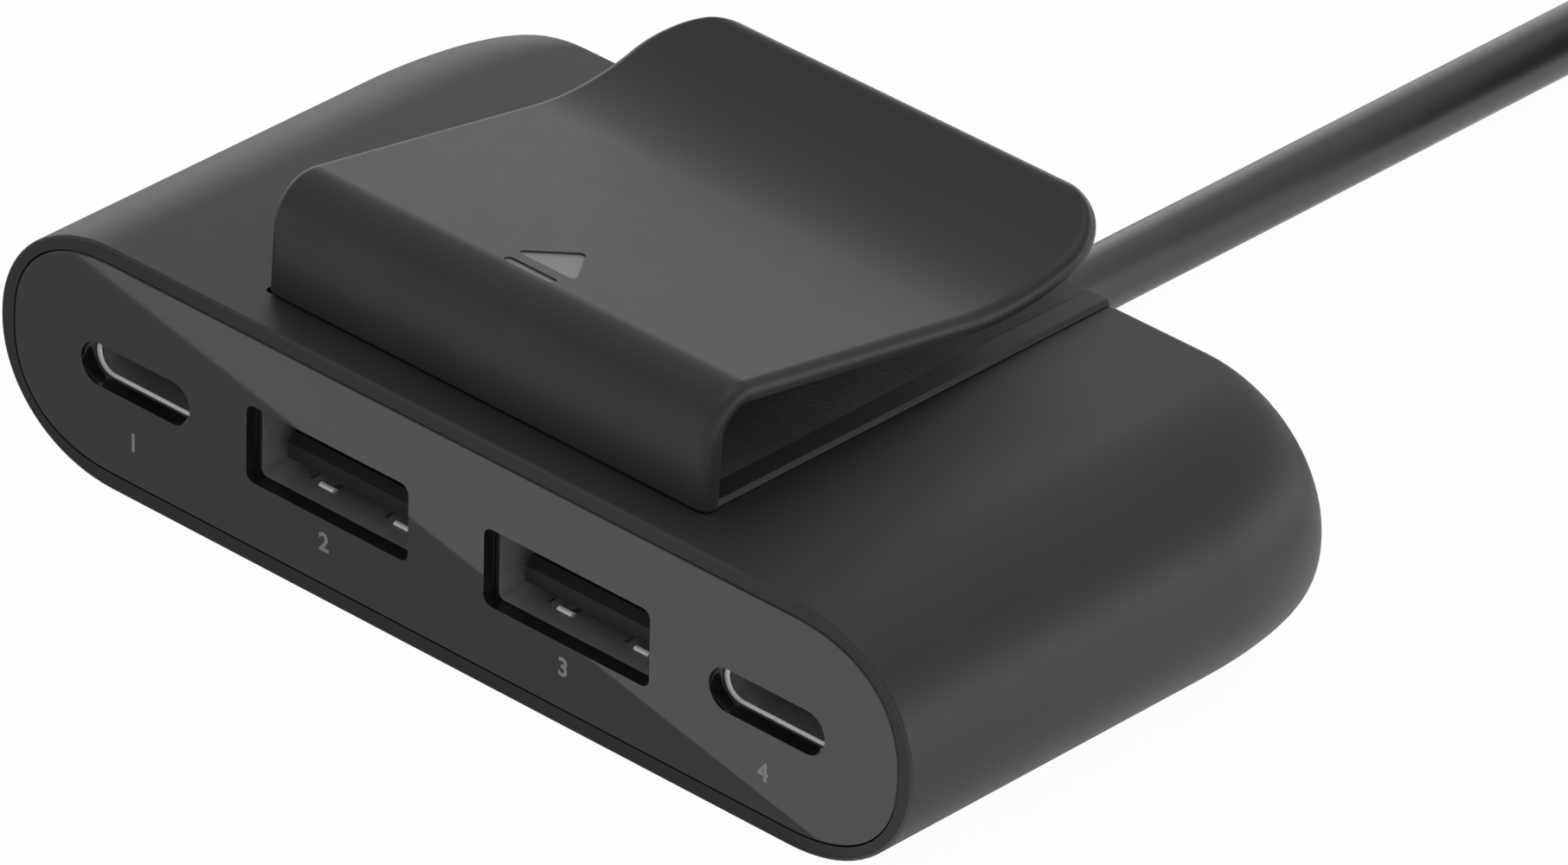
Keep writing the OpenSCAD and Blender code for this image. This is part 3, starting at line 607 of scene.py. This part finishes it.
def make_housing():
    """Shell with the plate's recess, the cavity, the clip's channel and the lead's hole.

    Only the channel's left front corner shows a round relief.
    """
    shell = solid("housing_shell", housing_rings())
    recess = slab_outline(BODY_W / 2 - RIM_W, HALF_H - RIM_W, PLATE_CAP, PLATE_POWER)
    channel_y = LEG_FRONT - CHANNEL_GAP
    relief = [[(x - (LEG_W + SLIDE_GAP), channel_y + 2 * CHANNEL_GAP + y, z)
               for x, y in circle(RELIEF_R, 15)] for z in (LEG_BOTTOM, HALF_H + BEYOND)]
    combine(shell, "DIFFERENCE",
            prism("recess", recess, -BEYOND, PLATE_T),
            solid("cavity", cavity_rings()),
            prism("channel", leg_outline(SLIDE_GAP, HALF_H + BEYOND), channel_y, BODY_D + BEYOND),
            solid("relief", relief),
            prism("lead_hole", circle(LEAD_HOLE_R, 10), BODY_D - 3, BODY_D + BEYOND, z=CORD_Z))
    soften(shell, HOUSING_SOFT)
    dress(shell, shell_black, rim_black)
    front_m = at_face(0, 0.01, 0).y
    for face in shell.data.polygons:
        if face.normal.y < -0.99 and face.center.y < front_m:
            face.material_index = 1
    return shell


def make_faceplate():
    gap = RIM_W + PLATE_GAP
    rings = []
    for b in reversed(quarter(3)):
        inset = gap + PLATE_EDGE_R * (1 - math.cos(b))
        outline = slab_outline(BODY_W / 2 - inset, HALF_H - inset, PLATE_CAP - PLATE_GAP,
                               PLATE_POWER)
        rings.append([(x, PLATE_EDGE_R * (1 - math.sin(b)), z) for x, z in outline])
    rings.append([(x, PLATE_T, z) for x, _, z in rings[-1]])
    plate = solid("front_plate", rings)
    tools = []
    for side in (-1, 1):
        for name, opening, start, x in (("hole", PORT_A_OPENING, -BEYOND, PORT_A_X),
                                        ("pocket", PORT_A_POCKET, POCKET_FRONT, PORT_A_X),
                                        ("slot", PORT_C_OPENING, -BEYOND, PORT_C_X)):
            tools.append(prism(name, round_box_outline(*opening), start, PLATE_T + BEYOND,
                               side * x, PORT_Z))
    combine(plate, "DIFFERENCE", *tools)
    soften(plate, PLATE_SOFT)
    dress(plate, plate_black)
    return plate


def on_tip(y, drop):
    """Station of the clip on the arc of its upturned tip."""
    a = math.asin((y - LOW_Y) / TIP_BEND_R)
    return (y, LOW_Z + TIP_BEND_R * (1 - math.cos(a)), a, drop)


def clip_stations():
    """Outer face of the clip from foot to tip, as (y, z, direction in radians, drop)."""
    wall = math.radians(90 - WALL_LEAN)
    foot = (CLIP_FRONT, HALF_H + SLIDE_GAP + CLIP_T * math.cos(wall))
    lean = math.tan(math.radians(WALL_LEAN))
    fall = math.tan(ARM_ANGLE)
    corner_y = ((ARM_END_Z + fall * ARM_END_Y - foot[1] + foot[0] / lean)
                / (1 / lean + fall))
    corner_z = ARM_END_Z + fall * (ARM_END_Y - corner_y)
    turn = wall + ARM_ANGLE
    back = BEND_R * math.tan(turn / 2)
    start = (corner_y - back * math.cos(wall), corner_z - back * math.sin(wall))
    mid = (start[0] + BEND_R * math.sin(wall), start[1] - BEND_R * math.cos(wall))
    stations = [(*foot, wall, 0.0)]
    for i in range(25):
        a = wall - turn * i / 24
        stations.append((mid[0] - BEND_R * math.sin(a), mid[1] + BEND_R * math.cos(a), a, 0.0))
    tip_y = CLIP_FRONT + CLIP_LEN
    corner = tip_y - TIP_CORNER_R
    stations += [on_tip(ARM_END_Y + (corner - ARM_END_Y) * i / 20, 0.0) for i in range(20)]
    last = math.asin(1 - EDGE_R / TIP_CORNER_R)
    stations += [on_tip(corner + TIP_CORNER_R * math.sin(last * i / 20), 0.0) for i in range(21)]
    stations += [on_tip(tip_y - EDGE_R + EDGE_R * math.sin(a), EDGE_R * (1 - math.cos(a)))
                 for a in quarter(8)[1:]]
    return stations


def clip_ring(station, steps=8):
    """Section of the clip with round outer edges, narrower where the tip's corners turn in."""
    y, z, direction, drop = station
    into = max(0.0, y - (CLIP_FRONT + CLIP_LEN - TIP_CORNER_R))
    hw = CLIP_W / 2 - TIP_CORNER_R + math.sqrt(max(0.01, TIP_CORNER_R ** 2 - into ** 2))
    r = min(EDGE_R, CLIP_T - drop - EDGE_FLAT)
    section = [(-hw, CLIP_T), (hw, CLIP_T)]
    for side, start in ((1, 0), (-1, 90)):
        for i in range(steps + 1):
            a = math.radians(start + 90 * i / steps)
            section.append((side * (hw - r) + r * math.cos(a), drop + r - r * math.sin(a)))
    return [(x, y + depth * math.sin(direction), z - depth * math.cos(direction))
            for x, depth in section]


def round_corners(points, radius, steps=6):
    """The outline with each corner replaced by an arc that touches both its sides."""
    outline = []
    for i, point in enumerate(points):
        corner = Vector(point)
        back = (Vector(points[i - 1]) - corner).normalized()
        ahead = (Vector(points[(i + 1) % len(points)]) - corner).normalized()
        half = back.angle(ahead) / 2
        middle = corner + (back + ahead).normalized() * radius / math.sin(half)
        start = corner + back * radius / math.tan(half) - middle
        end = corner + ahead * radius / math.tan(half) - middle
        for k in range(steps + 1):
            arm = (start * (1 - k / steps) + end * k / steps).normalized() * radius
            outline.append(tuple(middle + arm))
    return outline


def mark_tool(name, corners):
    """Cutting tool for a part of the eject mark, square to the clip's arm."""
    outline = [(x + MARK_X, y) for x, y in round_corners(corners, MARK_CORNER_R)]
    rings = []
    for depth in (MARK_DEPTH, -2 * BEYOND):
        rings.append([(x, ARM_END_Y + (y - ARM_END_Y) * math.cos(ARM_ANGLE)
                       - depth * math.sin(ARM_ANGLE),
                       ARM_END_Z - (y - ARM_END_Y) * math.sin(ARM_ANGLE)
                       - depth * math.cos(ARM_ANGLE)) for x, y in outline])
    return solid(name, rings)


def make_clip():
    """Clip with its leg, the room for the pad and the sunk eject mark with a grey floor."""
    clip = solid("clip_shell", [clip_ring(s) for s in clip_stations()])
    combine(clip, "UNION",
            prism("leg", leg_outline(0.0, HALF_H + LEG_PROUD), LEG_FRONT, BODY_D))
    w, low, top = LEG_W - PAD_MARGIN, PAD_TOP - PAD_T, PAD_TOP + 0.2
    room = [(w, low), (w, top), (-w, top), (-w, low)]
    combine(clip, "DIFFERENCE",
            prism("pad_room", room, PAD_FRONT, BODY_D + BEYOND),
            mark_tool("bar", MARK_BAR), mark_tool("wedge", MARK_WEDGE))
    soften(clip, CLIP_SOFT, angle=35.0)
    dress(clip, clip_black, mark_grey)
    up = Vector((0, math.sin(ARM_ANGLE), math.cos(ARM_ANGLE)))
    floor_level = at_face(0, ARM_END_Y, ARM_END_Z).dot(up) - MARK_DEPTH * MM
    for face in clip.data.polygons:
        if abs(face.center.dot(up) - floor_level) < 0.01 * MM and face.normal.dot(up) > 0.99:
            face.material_index = 1
    return clip


def make_pad():
    """Pad let into the clip's leg, a hair below its top."""
    w = LEG_W - PAD_MARGIN - PAD_SIDE_GAP
    low, top = PAD_TOP - PAD_T + PAD_END_GAP, HALF_H + LEG_PROUD - PAD_SUNK
    pad = prism("clip_pad", [(w, low), (w, top), (-w, top), (-w, low)],
                PAD_FRONT + PAD_SIDE_GAP, BODY_D - PAD_END_GAP)
    soften(pad, PAD_SOFT)
    dress(pad, pad_rubber_and_painted_fill)
    return pad


NUMBER_HEIGHT_MM = 1.7
NUMBER_PLACES = (-25.8, -9.92, 9.57, 25.51)
NUMBER_Y, NUMBER_Z = -0.006, -4.27
NUMBER_T_MM, NUMBER_SWELL_MM = 0.008, 0.045


def make_numbers():
    """Plain printed numbers below the ports, as flat meshes."""
    for count, x in enumerate(NUMBER_PLACES, 1):
        data = bpy.data.curves.new("port_number_%d" % count, "FONT")
        data.body = str(count)
        data.size = NUMBER_HEIGHT_MM * MM
        data.align_x, data.align_y = "CENTER", "CENTER"
        data.extrude = NUMBER_T_MM * MM
        data.offset = NUMBER_SWELL_MM * MM
        number = add_object(data.name, data)
        bpy.context.view_layer.update()
        mesh = bpy.data.meshes.new_from_object(
            number.evaluated_get(bpy.context.evaluated_depsgraph_get()))
        bpy.data.objects.remove(number)
        mesh.transform(Matrix.Translation(at_face(x, NUMBER_Y, NUMBER_Z))
                       @ Matrix.Rotation(math.pi / 2, 4, "X"))
        number = add_object(mesh.name, mesh)
        dress(number, print_grey)
        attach(number, "hub")


# Depth, width and height of the lip at each ring of its section
LIP_PROFILE_MM = [(1.44, 9.06, 2.82), (1.26, 9.06, 2.82), (1.24, 9.02, 2.78), (1.38, 8.5, 2.4),
                  (1.44, 8.46, 2.38)]


def make_lips():
    """Rolled front lips of the outer ports' shells, just behind the faceplate's openings. Their
    near-white steel paints a bright reflection on them.
    """
    for side, x in (("left", -PORT_C_X), ("right", PORT_C_X)):
        rings = [[(px + x, y, pz + PORT_Z) for px, pz in round_box_outline(w, h, h / 2 - 0.01)]
                 for y, w, h in LIP_PROFILE_MM]
        lip = solid("usb_c_lip_" + side, rings, closed=True)
        for face in lip.data.polygons:
            face.use_smooth = True
        dress(lip, painted_glint_steel)
        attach(lip, "hub")


SPRING_TIPS_MM, SPRING_TIP_W, PORT_A_FLOOR = (-2.55, 3.6), 1.15, PORT_Z - 2.52
SPRING_TIP_MM = [(2.42, -0.05), (2.56, 0.13), (2.7, 0.18), (2.88, 0.08), (2.88, -0.05)]


def make_spring_tips():
    """Raised roots of the springs in the floors of the inner ports' shells, in a near-white steel
    that paints their glint.
    """
    for side, middle in (("left", -PORT_A_X), ("right", PORT_A_X)):
        for place, x in zip(("inner", "outer"), SPRING_TIPS_MM):
            rings = [[(middle + x + end * SPRING_TIP_W / 2, y, PORT_A_FLOOR + z)
                      for y, z in SPRING_TIP_MM] for end in (-1, 1)]
            tip = solid("usb_a_spring_%s_%s" % (side, place), rings)
            dress(tip, painted_glint_steel)
            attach(tip, "hub")


def stand_in(thing, node, body):
    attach(thing, body)
    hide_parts(node)


stand_in(make_housing(), "housing", "hub")
stand_in(make_faceplate(), "faceplate", "hub")
stand_in(make_clip(), "clip", "clip")
stand_in(make_pad(), "grip_pad", "clip")
make_numbers()
make_lips()
make_spring_tips()


# Light and floor
# Levels are for what surfaces see. The camera itself sees plain white all round.
HORIZON_LEVEL, ZENITH_LEVEL = 0.9, 0.42
GRADIENT_TOP = 0.5
FLOOR_HALF_M = 3.0
FLOOR_FRONT_LEVEL, FLOOR_BACK_LEVEL = 0.56, 1.3
FLOOR_GRADIENT_M = (0.0, 0.09)
FLOOR_GRADIENT_AIM = (0.8, 0.6, 0.0)
FLOOR_WHITE_SHARE = 0.97
CARD_LEVEL = 1.25
CARD_CORNERS_MM = [(-63.6, -21.0), (60.0, -21.0), (60.0, 5.0), (28.0, -1.7)]
CARD_HEIGHT_MM = 0.02
WHITE = (1.0, 1.0, 1.0, 1.0)
# Name, place, target, size and watts, with the lengths in metres
LAMPS_M = [
    ("top_light", (0.0, 0.1, 0.9), (0, 0, 0), (0.9, 0.7), 2.0),
    ("back_panel", (-0.11, 0.15, 0.05), (0, 0.01, 0.05), (0.5, 0.10), 0.13),
    ("side_panel", (0.25, 0.28, 0.055), (0.02, 0.03, 0.01), (0.35, 0.08), 0.17)]


def camera_sees_white(tree, level):
    """The level for every ray but the camera's, which gets 1."""
    paths = tree.nodes.new("ShaderNodeLightPath")
    choose = tree.nodes.new("ShaderNodeMix")
    tree.links.new(paths.outputs["Is Camera Ray"], choose.inputs["Factor"])
    tree.links.new(level, choose.inputs["A"])
    choose.inputs["B"].default_value = 1.0
    return choose.outputs["Result"]


def make_world():
    world = bpy.data.worlds.new("studio")
    bpy.context.scene.world = world
    world.use_nodes = True
    tree = world.node_tree
    background = tree.nodes["Background"]
    direction = tree.nodes.new("ShaderNodeTexCoord")
    parts = tree.nodes.new("ShaderNodeSeparateXYZ")
    tree.links.new(direction.outputs["Generated"], parts.inputs["Vector"])
    level = map_range(tree, parts.outputs["Z"], (0.0, GRADIENT_TOP),
                      (HORIZON_LEVEL, ZENITH_LEVEL), "SMOOTHSTEP")
    tree.links.new(camera_sees_white(tree, level), background.inputs["Strength"])
    background.inputs["Color"].default_value = WHITE


def flat_sheet(name, corners):
    mesh = bpy.data.meshes.new(name)
    mesh.from_pydata(corners, [], [tuple(range(len(corners)))])
    sheet = add_object(name, mesh)
    return sheet


def make_floor():
    """White floor that glows for the camera and for reflections, and takes a faint shadow."""
    size = FLOOR_HALF_M
    floor = flat_sheet("floor", [(x, y, 0) for x, y in ((-size, -size), (size, -size),
                                                        (size, size), (-size, size))])
    look = Look("floor_white")
    look.set(Roughness=0.9, Specular_IOR_Level=0.0, Base_Color=(0.9, 0.9, 0.9, 1.0))
    slant = look.add("ShaderNodeVectorMath", operation="DOT_PRODUCT")
    look.join(look.place, slant.inputs[0])
    slant.inputs[1].default_value = FLOOR_GRADIENT_AIM
    level = map_range(look.tree, slant.outputs["Value"], FLOOR_GRADIENT_M,
                      (FLOOR_FRONT_LEVEL, FLOOR_BACK_LEVEL), "SMOOTHSTEP")
    glow = look.add("ShaderNodeEmission")
    look.join(camera_sees_white(look.tree, level), glow.inputs["Strength"])
    paths = look.add("ShaderNodeLightPath")
    seen = look.add("ShaderNodeMath", operation="MAXIMUM")
    look.join(paths.outputs["Is Camera Ray"], seen.inputs[0])
    look.join(paths.outputs["Is Glossy Ray"], seen.inputs[1])
    share = look.add("ShaderNodeMath", operation="MULTIPLY")
    share.inputs[1].default_value = FLOOR_WHITE_SHARE
    look.join(seen.outputs[0], share.inputs[0])
    mix = look.add("ShaderNodeMixShader")
    look.join(share.outputs[0], mix.inputs["Fac"])
    look.join(look.shader.outputs[0], mix.inputs[1])
    look.join(glow.outputs[0], mix.inputs[2])
    look.join(mix.outputs[0], look.tree.nodes["Material Output"].inputs["Surface"])
    dress(floor, look.material)


def make_card():
    """Bright card on the floor before the ports, which the polished faceplate mirrors."""
    height = CARD_HEIGHT_MM - HALF_H
    card = flat_sheet("card", [at_face(x, y, height) for x, y in CARD_CORNERS_MM])
    look = Look("card_white")
    look.set(Base_Color=(0.0, 0.0, 0.0, 1.0), Emission_Color=WHITE)
    look.set(Emission_Strength=CARD_LEVEL, Roughness=1.0, Specular_IOR_Level=0.0)
    dress(card, look.material)
    card.visible_camera = False
    card.visible_diffuse = False
    card.visible_shadow = False


def area_lamp(name, place, target, size, watts):
    data = bpy.data.lights.new(name, "AREA")
    data.shape = "RECTANGLE"
    data.size, data.size_y = size
    data.energy = watts
    lamp = add_object(name, data)
    lamp.location = place
    lamp.visible_camera = False
    lamp.rotation_euler = (Vector(target) - Vector(place)).to_track_quat("-Z", "Y").to_euler()


make_world()
make_floor()
make_card()
for lamp_settings in LAMPS_M:
    area_lamp(*lamp_settings)
bpy.context.scene.view_settings.view_transform = "Standard"
